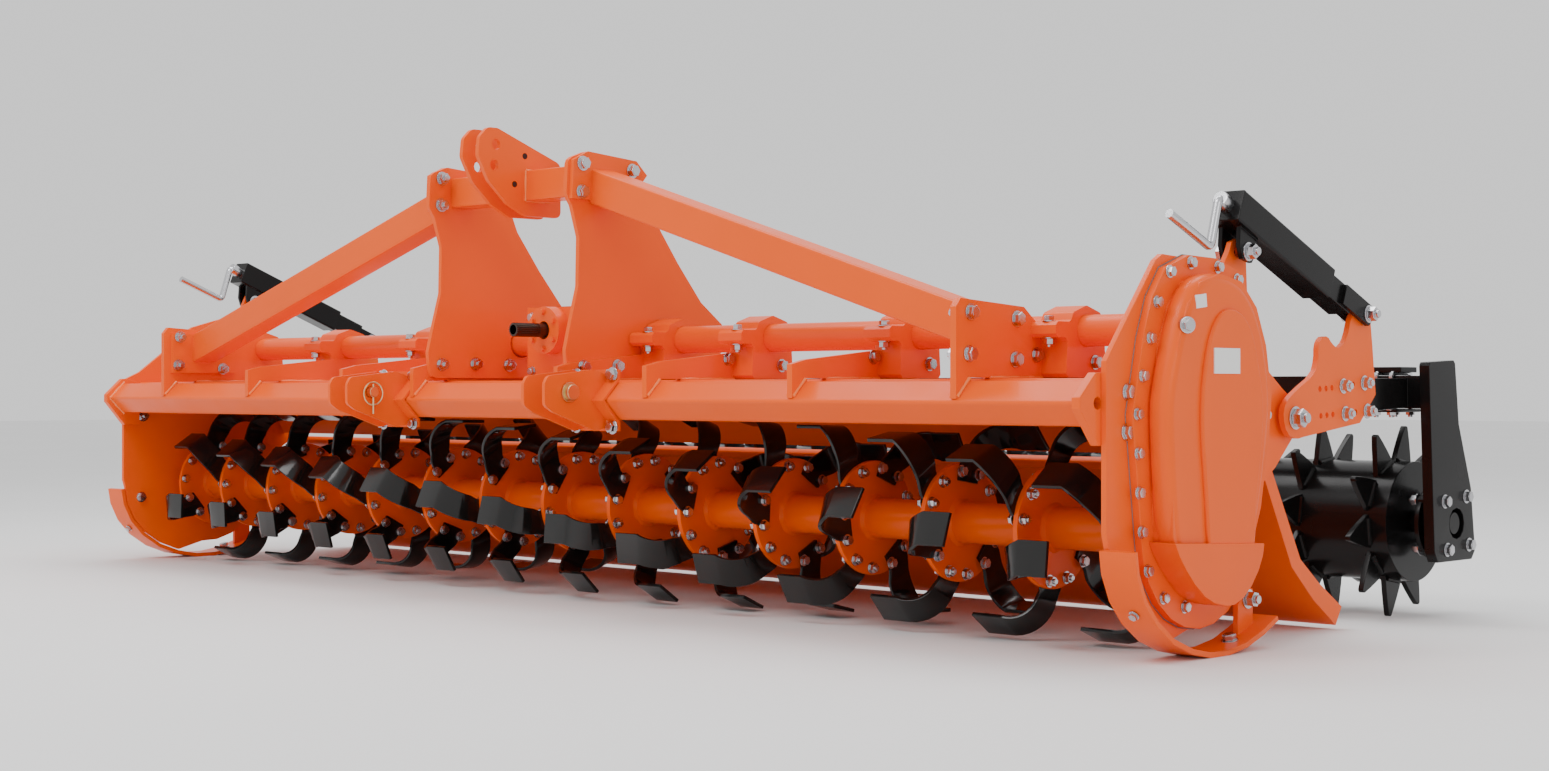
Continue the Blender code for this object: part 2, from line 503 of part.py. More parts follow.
# ---------------------------------------------------------------- trailing board
sheet = [(1.24, 0.46), (1.70, -0.36), (2.05, -0.66), (2.42, -0.905)]
flap = flat("trailing_board", band(sheet, 0.03, 1), -7.20, 7.20, ORANGE)
wing = [(1.24, 0.46), (1.70, -0.36), (2.05, -0.66), (2.42, -0.905), (2.52, -0.75), (2.14, -0.52), (1.84, -0.30), (1.38, 0.48)]
for s in (-1, 1):
    x0, x1 = (7.16, 7.20) if s > 0 else (-7.20, -7.16)
    combine(flap, flat("w", wing, x0, x1, ORANGE))
combine(flap, rod("h", (-7.20, FLAP_Y + 0.06, FLAP_Z - 0.03), (7.20, FLAP_Y + 0.06, FLAP_Z - 0.03), 0.06, ORANGE, 12))

# ---------------------------------------------------------------- roller arms
arm = [(1.30, 0.78), (1.24, 0.92), (1.28, 1.04), (1.45, 1.14), (1.74, 1.27), (1.80, 1.40), (1.80, 1.52), (1.86, 1.59),
       (1.95, 1.60), (2.02, 1.54), (2.10, 1.50), (2.20, 1.52), (2.28, 1.60), (2.34, 1.76), (2.42, 1.84), (2.54, 1.885),
       (2.64, 1.84), (2.68, 1.74), (2.79, 0.89), (1.60, 0.755), (1.44, 0.73)]
arm_r = flat("roller_arm_right", arm, PLATE_X + 0.045, PLATE_X + 0.095, ORANGE,
             [circle(ARM_Y, ARM_Z, 0.065, 10), circle(EYE_Y, EYE_Z, 0.045, 8)])
arm_l = mirrored(arm_r, "roller_arm_left")

# ---------------------------------------------------------------- roller frame: cross beam, brackets and end plates
rf = box("roller_frame", -7.56, 7.56, 3.42, 3.72, 0.975, 1.27, BLACK)
endp = [(3.30, 1.36), (3.32, 1.39), (3.76, 1.41), (3.79, 1.38), (3.86, 0.83), (4.09, 0.25), (4.17, -0.32), (4.10, -0.40),
        (3.46, -0.40), (3.40, -0.30)]
for s in (-1, 1):
    x0, x1 = (7.52, 7.62) if s > 0 else (-7.62, -7.52)
    combine(rf, flat("e", endp, x0, x1, BLACK, [circle(ROLL_Y, ROLL_Z, 0.14, 12)]))
    b0, b1 = (7.30, PLATE_X + 0.045 - g) if s > 0 else (-(PLATE_X + 0.045 - g), -7.30)
    combine(rf, flat("b", [(2.30, 0.93), (2.30, 1.24), (3.50, 1.25), (3.50, 0.99)], b0, b1, BLACK))

# ---------------------------------------------------------------- spiked roller
N_RING, N_SPIKE = 21, 10
drum = rod("roller", (-7.22, ROLL_Y, ROLL_Z), (7.22, ROLL_Y, ROLL_Z), ROLL_TUBE_R, BLACK, 20)
combine(drum, rod("j", (-7.60, ROLL_Y, ROLL_Z), (7.60, ROLL_Y, ROLL_Z), 0.10, BLACK, 12))

# Flat tapered teeth that stand out of the drum, turned by half a pitch from ring to ring.
tooth = flat("teeth", [(ROLL_TUBE_R - 0.04, -0.15), (ROLL_TIP_R, -0.03), (ROLL_TIP_R, 0.03), (ROLL_TUBE_R - 0.04, 0.15)],
             -0.03, 0.03, BLACK)
tooth.data.transform(Matrix.Translation(-ORIGIN))
bm = bmesh.new()
for i in range(N_RING):
    x = -7.02 + 14.04 * i / (N_RING - 1)
    for k in range(N_SPIKE):
        a = 2 * math.pi * (k + (0.5 if i % 2 else 0.0)) / N_SPIKE + math.radians(8.0)
        seen = set(bm.verts)
        bm.from_mesh(tooth.data)
        bmesh.ops.transform(bm, matrix=Matrix.Translation(at(x, ROLL_Y, ROLL_Z)) @ Matrix.Rotation(a, 4, "X"),
                            verts=[v for v in bm.verts if v not in seen])
bm.to_mesh(tooth.data)
bm.free()
combine(drum, tooth)

# ---------------------------------------------------------------- screw jacks
jd = Vector((0.0, 2.0, -0.83)).normalized()
jn = Vector((0.0, 0.83, 2.0)).normalized()
JX = PLATE_X + 0.01
top_end = Vector((JX, EYE_Y, EYE_Z)) - jd * 2.16
mid_end = Vector((JX, EYE_Y, EYE_Z)) - jd * 0.64
jo = bar("jack_outer_right", top_end, mid_end, 0.27, 0.27, BLACK, jn, 0.02, 0.025)
for x0 in (JX - 0.10, JX + 0.07):
    ear = [(JACK_Y - 0.08, JACK_Z - 0.06), (JACK_Y + 0.06, JACK_Z - 0.09), (JACK_Y + 0.14, JACK_Z), (JACK_Y + 0.16, JACK_Z + 0.20),
           (JACK_Y - 0.10, JACK_Z + 0.30), (JACK_Y - 0.12, JACK_Z + 0.05)]
    combine(jo, flat("ear", ear, x0 - 0.02, x0 + 0.02, BLACK, [circle(JACK_Y, JACK_Z, 0.045, 8)]))
ji = bar("jack_inner_right", Vector((JX, EYE_Y, EYE_Z)) - jd * 1.30, Vector((JX, EYE_Y, EYE_Z)) - jd * 0.24, 0.208, 0.208, BLACK, jn, 0.01)
for x0, x1 in ((JX - 0.04, JX + 0.015), (JX + 0.097, JX + 0.140)):
    e = [tuple((Vector((0, EYE_Y, EYE_Z)) + jd * a + jn * b)[1:]) for a, b in
         ((-0.42, -0.09), (0.05, -0.09), (0.10, 0.0), (0.05, 0.09), (-0.42, 0.09))]
    combine(ji, flat("eye", e, x0, x1, BLACK, [circle(EYE_Y, EYE_Z, 0.045, 8)]))
mirrored(jo, "jack_outer_left")
mirrored(ji, "jack_inner_left")

# Crank handle on the upper end of each jack.
te = top_end - jd * g
c1 = te - jd * 0.14
drop = Vector((0.0, -0.30, -0.95)).normalized()
c2 = c1 + drop * 0.42
c3 = c2 - jd * 0.62
cr = rod("crank_right", te, te - jd * 0.18, 0.05, STEEL, 10)
combine(cr, rod("a", c1, c2, 0.04, STEEL, 10))
combine(cr, rod("b", c2 + jd * 0.03, c3, 0.036, STEEL, 10))
mirrored(cr, "crank_left")
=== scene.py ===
# Looks for the mounted rotavator: finishes, blades, bolts, welds and the studio around it.
import bpy
import bmesh
import json
import math
import random
from mathutils import Vector, Matrix


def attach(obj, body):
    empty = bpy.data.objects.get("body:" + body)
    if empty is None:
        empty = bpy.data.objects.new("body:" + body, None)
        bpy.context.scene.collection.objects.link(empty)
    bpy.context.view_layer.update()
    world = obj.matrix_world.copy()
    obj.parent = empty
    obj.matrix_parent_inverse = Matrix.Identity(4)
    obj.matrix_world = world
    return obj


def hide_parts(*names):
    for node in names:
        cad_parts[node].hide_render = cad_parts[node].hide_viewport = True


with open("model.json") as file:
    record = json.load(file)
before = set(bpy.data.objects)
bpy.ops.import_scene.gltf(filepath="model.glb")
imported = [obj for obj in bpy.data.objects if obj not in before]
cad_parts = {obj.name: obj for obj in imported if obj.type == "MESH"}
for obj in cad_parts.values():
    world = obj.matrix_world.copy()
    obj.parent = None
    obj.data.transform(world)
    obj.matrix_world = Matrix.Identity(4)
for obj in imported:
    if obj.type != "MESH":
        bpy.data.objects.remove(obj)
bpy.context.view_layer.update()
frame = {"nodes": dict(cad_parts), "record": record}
NODES = frame["nodes"]
BODY = {n: b for b, ns in frame["record"]["behaviour"]["bodies"].items() for n in ns}
random.seed(4)

P = 0.25
ORIGIN = Vector((0.0, -0.346, 0.235))
N_FLANGE, PHASE_MID, PHASE_STEP, PHASE_GROW = 15, -26.0, -9.25, -0.347
FLANGE_R, FLANGE_T, BOLT_R, TUBE_R0 = 0.511, 0.050, 0.447, 0.178
ROLL_Y, ROLL_Z, ROLL_TUBE_R, ROLL_TIP_R = 3.81, -0.062, 0.55, 0.8824


def at(x, y, z):
    return Vector((x * P, y * P, z * P)) + ORIGIN


# ---------------------------------------------------------------- materials
def nodes_of(name):
    m = bpy.data.materials.new(name)
    m.use_nodes = True
    nt = m.node_tree
    return m, nt, nt.nodes["Principled BSDF"]


def noise(nt, scale, detail=3.0, rough=0.5, kind="Object"):
    tc = nt.nodes.new("ShaderNodeTexCoord")
    n = nt.nodes.new("ShaderNodeTexNoise")
    n.inputs["Scale"].default_value = scale
    n.inputs["Detail"].default_value = detail
    n.inputs["Roughness"].default_value = rough
    nt.links.new(tc.outputs[kind], n.inputs["Vector"])
    return n.outputs["Fac"]


def ramp(nt, fac, c0, c1, p0=0.35, p1=0.65):
    r = nt.nodes.new("ShaderNodeValToRGB")
    r.color_ramp.elements[0].position = p0
    r.color_ramp.elements[1].position = p1
    r.color_ramp.elements[0].color = (*c0, 1)
    r.color_ramp.elements[1].color = (*c1, 1)
    nt.links.new(fac, r.inputs["Fac"])
    return r.outputs["Color"]


def remap(nt, fac, lo, hi):
    r = nt.nodes.new("ShaderNodeMapRange")
    r.inputs["From Min"].default_value = 0.3
    r.inputs["From Max"].default_value = 0.7
    r.inputs["To Min"].default_value = lo
    r.inputs["To Max"].default_value = hi
    nt.links.new(fac, r.inputs["Value"])
    return r.outputs["Result"]


def bump(nt, fac, dist, strength=1.0, prev=None):
    b = nt.nodes.new("ShaderNodeBump")
    b.inputs["Distance"].default_value = dist
    b.inputs["Strength"].default_value = strength
    nt.links.new(fac, b.inputs["Height"])
    if prev is not None:
        nt.links.new(prev, b.inputs["Normal"])
    return b.outputs["Normal"]


def finish_mat(name, rgb, rough, metal=0.0, coat=0.0, vary=0.06, fine=420.0, peel=0.00006, wave=0.0, spec=0.5):
    m, nt, b = nodes_of(name)
    lo = tuple(c * (1 - vary) for c in rgb)
    hi = tuple(min(1.0, c * (1 + vary)) for c in rgb)
    nt.links.new(ramp(nt, noise(nt, 2.6), lo, hi), b.inputs["Base Color"])
    nt.links.new(remap(nt, noise(nt, 9.0), max(0.02, rough - 0.05), rough + 0.06), b.inputs["Roughness"])
    b.inputs["Metallic"].default_value = metal
    b.inputs["Coat Weight"].default_value = coat
    b.inputs["Coat Roughness"].default_value = 0.06
    b.inputs["Specular IOR Level"].default_value = spec
    n = bump(nt, noise(nt, fine, 1.0), peel, 1.0)
    if wave:
        n = bump(nt, noise(nt, 14.0, 2.0), wave, 1.0, n)
    nt.links.new(n, b.inputs["Normal"])
    m.diffuse_color = (*rgb, 1)
    return m


ORANGE = finish_mat("look_orange_paint", (0.90, 0.105, 0.0005), 0.33, coat=0.05, vary=0.03, wave=0.00008, spec=0.20)
BLACK = finish_mat("look_black_paint", (0.006, 0.0055, 0.0055), 0.22, coat=0.06, vary=0.15, wave=0.00008, spec=0.16)
BLADE = finish_mat("look_blade_black", (0.008, 0.0075, 0.007), 0.14, coat=0.15, vary=0.2, fine=300, wave=0.0005, spec=0.32)
ZINC = finish_mat("look_zinc", (0.58, 0.58, 0.60), 0.22, metal=1.0, vary=0.06, fine=700, peel=0.00003)
DARK = finish_mat("look_dark_steel", (0.075, 0.05, 0.038), 0.32, metal=0.7, vary=0.2)
BRASS = finish_mat("look_yellow_zinc", (0.74, 0.57, 0.30), 0.30, metal=1.0, vary=0.12)
# Dark red-brown for painted shade: flat discs drawn where the holes' shaded insides would be.
HOLE_SHADE = finish_mat("look_hole_shadow", (0.03, 0.006, 0.002), 0.8, vary=0.1)
GREY = finish_mat("look_gasket", (0.20, 0.19, 0.18), 0.7, vary=0.1)
STICKER = finish_mat("look_label_blank", (0.80, 0.80, 0.78), 0.38, vary=0.02)
# Weld beads: the orange paint with its base colour lightened as a painted highlight, so the beads read pale against the
# paint.
WELD_PAINTED_HIGHLIGHT = finish_mat("look_weld_paint_painted_highlight", (0.95, 0.20, 0.03), 0.26, coat=0.40, vary=0.05, fine=160, peel=0.0006, spec=0.5)


# ---------------------------------------------------------------- geometry helpers
def new_obj(name, bm, mats, body, smooth=35.0, replace=()):
    bm.normal_update()
    for f in bm.faces:
        f.smooth = True
    lim = math.radians(smooth)
    for e in bm.edges:
        if len(e.link_faces) == 2:
            e.smooth = e.calc_face_angle(0.0) < lim
    me = bpy.data.meshes.new(name)
    bm.to_mesh(me)
    bm.free()
    for m in mats:
        me.materials.append(m)
    ob = bpy.data.objects.new(name, me)
    bpy.context.scene.collection.objects.link(ob)
    md = ob.modifiers.new("flat_faces", "WEIGHTED_NORMAL")
    md.keep_sharp = True
    md.weight = 90
    if body:
        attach(ob, body)
    if replace:
        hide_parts(*replace)
    return ob


def evaluated_bm(ob):
    bpy.context.view_layer.update()
    dg = bpy.context.evaluated_depsgraph_get()
    me = bpy.data.meshes.new_from_object(ob.evaluated_get(dg), depsgraph=dg)
    bm = bmesh.new()
    bm.from_mesh(me)
    bpy.data.meshes.remove(me)
    old = ob.data
    bpy.data.objects.remove(ob, do_unlink=True)
    if old.users == 0:
        bpy.data.meshes.remove(old)
    return bm


def beveled(bm, width, seg=2, angle=30.0):
    """bm with its hard edges rounded."""
    me = bpy.data.meshes.new("t")
    bm.to_mesh(me)
    bm.free()
    ob = bpy.data.objects.new("t", me)
    bpy.context.scene.collection.objects.link(ob)
    md = ob.modifiers.new("b", "BEVEL")
    md.width = width
    md.segments = seg
    md.limit_method = "ANGLE"
    md.angle_limit = math.radians(angle)
    md.use_clamp_overlap = True
    return evaluated_bm(ob)


class Acc:
    """Gathers copies of small shapes into one mesh."""

    def __init__(self):
        self.v, self.f, self.m = [], [], []

    def add(self, tpl, mat=Matrix.Identity(4), mi=None):
        n = len(self.v)
        vs, fs, ms = tpl
        self.v += [mat @ v for v in vs]
        self.f += [tuple(i + n for i in f) for f in fs]
        self.m += [m if mi is None else mi for m in ms]

    def bm(self):
        me = bpy.data.meshes.new("t")
        me.from_pydata([tuple(v) for v in self.v], [], self.f)
        me.polygons.foreach_set("material_index", self.m)
        bm = bmesh.new()
        bm.from_mesh(me)
        bpy.data.meshes.remove(me)
        bmesh.ops.recalc_face_normals(bm, faces=bm.faces)
        return bm

    def tpl(self):
        return (self.v, self.f, self.m)


def tpl_of(bm, mi=0):
    bm.verts.index_update()
    t = ([v.co.copy() for v in bm.verts], [tuple(v.index for v in f.verts) for f in bm.faces], [mi] * len(bm.faces))
    bm.free()
    return t


def cyl(r, h, seg=16, r2=None, z0=0.0, bev=0.0):
    bm = bmesh.new()
    bmesh.ops.create_cone(bm, cap_ends=True, segments=seg, radius1=r, radius2=r if r2 is None else r2, depth=h)
    bmesh.ops.translate(bm, vec=(0, 0, z0 + h / 2), verts=bm.verts)
    if bev:
        es = [e for e in bm.edges if abs(e.verts[0].co.z - e.verts[1].co.z) < 1e-7]
        bmesh.ops.bevel(bm, geom=es, offset=bev, segments=2, profile=0.5, affect="EDGES")
    return tpl_of(bm)


def cube(sx, sy, sz, bev=0.0):
    bm = bmesh.new()
    bmesh.ops.create_cube(bm, size=1.0)
    bmesh.ops.scale(bm, vec=(sx, sy, sz), verts=bm.verts)
    if bev:
        bmesh.ops.bevel(bm, geom=bm.edges[:], offset=bev, segments=2, profile=0.5, affect="EDGES")
    return tpl_of(bm)


def hexbolt(af, nut=False):
    """Hex head (or nut with thread end) on a washer; stands on z = 0, size across flats af."""
    a = Acc()
    a.add(cyl(af * 0.72, af * 0.11, 20, bev=af * 0.02))
    a.add(cyl(af * 0.577, af * (0.5 if not nut else 0.6), 6, z0=af * 0.11, bev=af * 0.05))
    if nut:
        a.add(cyl(af * 0.32, af * 0.28, 14, z0=af * 0.70, bev=af * 0.05))
    else:
        a.add(cyl(af * 0.42, af * 0.03, 16, z0=af * 0.61))
    return a.tpl()


def axis_matrix(p, n, spin=0.0, scale=1.0):
    q = Vector((0, 0, 1)).rotation_difference(Vector(n).normalized()).to_matrix().to_4x4()
    return Matrix.Translation(Vector(p)) @ q @ Matrix.Rotation(spin, 4, "Z") @ Matrix.Scale(scale, 4)


BOLT = hexbolt(1.0)
NUT = hexbolt(1.0, True)
bolts = {}


def bolt(p, n, af, body="frame", nut=False):
    """p in flange pitches on the face, n the direction out, af across flats in metres."""
    acc = bolts.setdefault(body, Acc())
    acc.add(NUT if nut else BOLT, axis_matrix(at(*p), n, random.uniform(0, 1.05), af))


def tube_path(pts, r, seg=10, name="t", closed=False, res=6):
    cu = bpy.data.curves.new(name, "CURVE")
    cu.dimensions = "3D"
    cu.bevel_depth = r
    cu.bevel_resolution = max(0, seg // 4 - 1)
    cu.use_fill_caps = True
    sp = cu.splines.new("POLY")
    sp.points.add(len(pts) - 1)
    for q, p in zip(sp.points, pts):
        q.co = (*p, 1.0)
    sp.use_cyclic_u = closed
    ob = bpy.data.objects.new(name, cu)
    bpy.context.scene.collection.objects.link(ob)
    bpy.context.view_layer.update()
    dg = bpy.context.evaluated_depsgraph_get()
    me = bpy.data.meshes.new_from_object(ob.evaluated_get(dg), depsgraph=dg)
    bm = bmesh.new()
    bm.from_mesh(me)
    bpy.data.meshes.remove(me)
    bpy.data.objects.remove(ob, do_unlink=True)
    bpy.data.curves.remove(cu)
    bmesh.ops.remove_doubles(bm, verts=bm.verts, dist=1e-6)
    bmesh.ops.recalc_face_normals(bm, faces=bm.faces)
    return bm


def round_path(pts, r, n=6):
    """Polyline with rounded corners."""
    out = [Vector(pts[0])]
    for i in range(1, len(pts) - 1):
        p, a, b = Vector(pts[i]), Vector(pts[i - 1]), Vector(pts[i + 1])
        u, v = (a - p).normalized(), (b - p).normalized()
        s, e = p + u * r, p + v * r
        for k in range(n + 1):
            t = k / n
            out.append(s * (1 - t) ** 2 + p * 2 * t * (1 - t) + e * t * t)
    out.append(Vector(pts[-1]))
    return out


def prism(outline, x0, x1, holes=()):
    """Flat plate in the YZ plane, in flange pitches, as a template."""
    cu = bpy.data.curves.new("t", "CURVE")
    cu.dimensions = "2D"
    cu.fill_mode = "BOTH"
    cu.extrude = abs(x1 - x0) * P / 2
    for pts in [outline] + list(holes):
        sp = cu.splines.new("POLY")
        sp.points.add(len(pts) - 1)
        for q, (u, v) in zip(sp.points, pts):
            q.co = (u * P, v * P, 0, 1)
        sp.use_cyclic_u = True
    ob = bpy.data.objects.new("t", cu)
    bpy.context.scene.collection.objects.link(ob)
    rot = Matrix(((0, 0, 1), (1, 0, 0), (0, 1, 0))).to_4x4()
    bpy.context.view_layer.update()
    dg = bpy.context.evaluated_depsgraph_get()
    me = bpy.data.meshes.new_from_object(ob.evaluated_get(dg), depsgraph=dg)
    bm = bmesh.new()
    bm.from_mesh(me)
    bpy.data.meshes.remove(me)
    bpy.data.objects.remove(ob, do_unlink=True)
    bpy.data.curves.remove(cu)
    bm.transform(Matrix.Translation(ORIGIN + Vector(((x0 + x1) * P / 2, 0, 0))) @ rot)
    bmesh.ops.remove_doubles(bm, verts=bm.verts, dist=1e-6)
    bmesh.ops.dissolve_limit(bm, angle_limit=0.005, verts=bm.verts, edges=bm.edges)
    bmesh.ops.recalc_face_normals(bm, faces=bm.faces)
    return bm


def circle(cy, cz, r, n=20):
    return [(cy + r * math.cos(2 * math.pi * k / n), cz + r * math.sin(2 * math.pi * k / n)) for k in range(n)]


def arc(cy, cz, r, a0, a1, n):
    return [(cy + r * math.cos(math.radians(a0 + (a1 - a0) * k / n)),
             cz + r * math.sin(math.radians(a0 + (a1 - a0) * k / n))) for k in range(n + 1)]


def smooth_loop(pts, n=2):
    """Chaikin corner cutting of a closed outline."""
    for _ in range(n):
        out = []
        for i in range(len(pts)):
            a, b = Vector(pts[i]), Vector(pts[(i + 1) % len(pts)])
            out += [tuple(a * 0.75 + b * 0.25), tuple(a * 0.25 + b * 0.75)]
        pts = out
    return pts


# ---------------------------------------------------------------- every CAD solid, with its edges rounded
def refine(node, mat, width=0.0018):
    bm = bmesh.new()
    bm.from_mesh(NODES[node].data)
    bmesh.ops.remove_doubles(bm, verts=bm.verts, dist=1e-5)
    bmesh.ops.join_triangles(bm, faces=bm.faces, angle_face_threshold=0.002, angle_shape_threshold=math.radians(60))
    bm = beveled(bm, width)
    return new_obj(node + "_look", bm, [mat], BODY[node], 38.0, (node,))


DONE = {"roller"} | {n for n in NODES if n.startswith(("blade_flange", "crank_"))} | {"pto_shaft"}
for n in sorted(NODES):
    if n in DONE:
        continue
    if n.startswith("jack_") or n == "roller_frame":
        refine(n, BLACK)
    elif n.startswith("hitch_pin"):
        refine(n, BRASS, 0.003)
    else:
        refine(n, ORANGE)


# ---------------------------------------------------------------- rotor: flanges, blades and their bolts
def blade_tpl(sgn):
    """Bolted base, swept arm and a tip bent sideways, about the flange's centre, in metres."""
    t, bend, reach, xf, r_mid = 0.034, 0.24, 0.53, FLANGE_T / 2 + 0.013, 0.85
    st = [(xf, 0.35, 0.0, 0.25, 0.0), (xf, 0.44, 0.5, 0.265, 0.0), (xf, 0.52, 3.5, 0.27, 2.0), (xf, r_mid - bend, 9.0, 0.27, 5.0)]
    for k in range(1, 9):
        a = math.radians(90.0 * k / 8)
        st.append((xf + bend * (1 - math.cos(a)), r_mid - bend + bend * math.sin(a), 9.0 + 12.0 * k / 8, 0.27 + 0.02 * k / 8,
                   5.0 + 14.0 * k / 8))
    st.append((xf + (bend + reach) / 2, r_mid, 21.0, 0.29, 19.0))
    st.append((xf + reach, r_mid, 21.0, 0.29, 19.0))
    bm = bmesh.new()
    rows = []
    for x, r, lean, wid, tilt in st:
        th = math.radians(lean)
        rad, tan = Vector((0, math.sin(th), math.cos(th))), Vector((0, math.cos(th), -math.sin(th)))
        row = []
        for w in (-1, -0.33, 0.33, 1):
            ti = math.radians(tilt)
            c = rad * r + (tan * math.cos(ti) - rad * math.sin(ti)) * (w * wid / 2)
            row.append(bm.verts.new(Vector((sgn * x, c.y, c.z)) * P))
        rows.append(row)
    for a, b in zip(rows, rows[1:]):
        for i in range(3):
            bm.faces.new((a[i], a[i + 1], b[i + 1], b[i]))
    bmesh.ops.recalc_face_normals(bm, faces=bm.faces)
    me = bpy.data.meshes.new("t")
    bm.to_mesh(me)
    bm.free()
    ob = bpy.data.objects.new("t", me)
    bpy.context.scene.collection.objects.link(ob)
    md = ob.modifiers.new("s", "SOLIDIFY")
    md.thickness, md.offset = t * P, 0.0
    md = ob.modifiers.new("b", "BEVEL")
    md.width, md.segments, md.limit_method, md.angle_limit = 0.0016, 2, "ANGLE", math.radians(40)
    return tpl_of(evaluated_bm(ob), 1)


def flange_acc(sides):
    a = Acc()
    disc = tpl_of(beveled(prism_disc(), 0.0016))
    a.add(disc)
    for s in (1, -1):
        a.add(ring_tpl(TUBE_R0 * P, 0.008), axis_matrix((s * FLANGE_T / 2 * P, 0, 0), (s, 0, 0)), 0)
    for k, sgn in enumerate(sides):
        R = Matrix.Rotation(math.radians(60.0 * k), 4, "X")
        if sgn:
            a.add(blade_tpl(sgn), R)
        # two bolts through each blade's base, heads on the blade's side
        for off in (-15.0, 15.0):
            th = math.radians(off)
            y, z = BOLT_R * math.sin(th) * P, BOLT_R * math.cos(th) * P
            s = sgn if sgn else (1 if sum(sides) > 0 else -1)
            t0 = (FLANGE_T / 2 + (0.030 if sgn else 0.0)) * P
            a.add(BOLT, R @ axis_matrix((s * t0, y, z), (s, 0, 0), 0.3, 0.019), 2)
            a.add(NUT, R @ axis_matrix((-s * FLANGE_T / 2 * P, y, z), (-s, 0, 0), 0.7, 0.019), 2)
    return a


def ring_tpl(r, h, seg=40, n=5):
    """Fillet weld round a tube: quarter-round ring that leans on a face at z = 0."""
    bm = bmesh.new()
    rows = []
    for j in range(seg):
        a = 2 * math.pi * j / seg
        w = h * (1 + 0.10 * math.sin(9.7 * a) + 0.06 * math.sin(23.0 * a))
        pr = [(r - 0.0005, -0.0005), (r + w, -0.0005), (r + w * 0.45, w * 0.45), (r - 0.0005, w)]
        rows.append([bm.verts.new((q * math.cos(a), q * math.sin(a), z)) for q, z in pr])
    for j in range(seg):
        a, b = rows[j], rows[(j + 1) % seg]
        for k in range(4):
            bm.faces.new((a[k], a[(k + 1) % 4], b[(k + 1) % 4], b[k]))
    return tpl_of(bm)


def prism_disc():
    bm = bmesh.new()
    bmesh.ops.create_cone(bm, cap_ends=True, segments=60, radius1=FLANGE_R * P, radius2=FLANGE_R * P, depth=FLANGE_T * P)
    bmesh.ops.rotate(bm, cent=(0, 0, 0), matrix=Matrix.Rotation(math.pi / 2, 3, "Y"), verts=bm.verts)
    return bm


protos = {"m": flange_acc((1, -1, 1, -1, 1, -1)), "l": flange_acc((1, 0, 1, 0, 1, 0)), "r": flange_acc((0, -1, 0, -1, 0, -1))}
for i in range(N_FLANGE):
    key = "l" if i == 0 else "r" if i == N_FLANGE - 1 else "m"
    x = i - 7 - (0.03 if i else -0.05) - (0.02 if i == N_FLANGE - 1 else 0.0)
    M = Matrix.Translation(at(x, 0, 0)) @ Matrix.Rotation(math.radians(30.0 - (PHASE_MID + PHASE_STEP * (i - 7) + PHASE_GROW * (i - 7) ** 2)), 4, "X")
    bm = protos[key].bm()
    bm.transform(M)
    new_obj("flange_blades_%02d" % (i + 1), bm, [ORANGE, BLADE, ZINC], "rotor", 40.0, ("blade_flange_%02d" % (i + 1),))

# ---------------------------------------------------------------- input shaft with its splines
bm = bmesh.new()
prof = []
for k in range(21):
    a0 = 2 * math.pi * k / 21
    for da, rr in ((0.0, 0.061), (0.075, 0.061), (0.105, 0.070), (0.195, 0.070)):
        prof.append((a0 + da, rr * P))
ring0 = [bm.verts.new((r * math.cos(a), -0.907 * P, r * math.sin(a))) for a, r in prof]
ring1 = [bm.verts.new((r * math.cos(a), -0.60 * P, r * math.sin(a))) for a, r in prof]
m = len(prof)
for k in range(m):
    bm.faces.new((ring0[k], ring0[(k + 1) % m], ring1[(k + 1) % m], ring1[k]))
bm.faces.new(ring0[::-1])
bm.faces.new(ring1)
acc = Acc()
acc.add(tpl_of(bm))
acc.add(cyl(0.070 * P, 0.75 * P, 32, bev=0.001), Matrix.Translation((0, -0.61 * P, 0)) @ Matrix.Rotation(-math.pi / 2, 4, "X"))
acc.add(cyl(0.05 * P, 0.012 * P, 24), Matrix.Translation((0, -0.907 * P, 0)) @ Matrix.Rotation(-math.pi / 2, 4, "X"))
bm = acc.bm()
bm.transform(Matrix.Translation(at(0, 0, 1.74)))
new_obj("input_shaft_splined", bm, [DARK], "input_shaft", 30.0, ("pto_shaft",))

# ---------------------------------------------------------------- roller
acc = Acc()
acc.add(cyl(ROLL_TUBE_R * P, 14.44 * P, 72, bev=0.002), axis_matrix(at(-7.22, ROLL_Y, ROLL_Z), (1, 0, 0)))
acc.add(cyl(0.10 * P, 15.20 * P, 28, bev=0.002), axis_matrix(at(-7.60, ROLL_Y, ROLL_Z), (1, 0, 0)))
tooth = prism([(ROLL_TUBE_R - 0.03, -0.155), (0.66, -0.11), (0.78, -0.065), (ROLL_TIP_R - 0.012, -0.026), (ROLL_TIP_R, -0.012),
               (ROLL_TIP_R, 0.012), (ROLL_TIP_R - 0.012, 0.026), (0.78, 0.065), (0.66, 0.11), (ROLL_TUBE_R - 0.03, 0.155)], -0.026, 0.026)
tooth.transform(Matrix.Translation(-ORIGIN))
tooth = tpl_of(beveled(tooth, 0.0014))
bead = cyl(0.006, 0.062, 8, bev=0.002)
N_RING, N_SPIKE = 21, 10
for i in range(N_RING):
    x = -7.02 + 14.04 * i / (N_RING - 1)
    for k in range(N_SPIKE):
        a = 2 * math.pi * (k + (0.5 if i % 2 else 0.0)) / N_SPIKE + math.radians(8.0)
        M = Matrix.Translation(at(x, ROLL_Y, ROLL_Z)) @ Matrix.Rotation(a, 4, "X")
        acc.add(tooth, M)
        for q in (-1, 1):
            acc.add(bead, M @ Matrix.Translation((q * 0.026 * P, ROLL_TUBE_R * P - 0.001, -0.031)))
new_obj("spiked_roller", acc.bm(), [BLACK], "roller", 40.0, ("roller",))

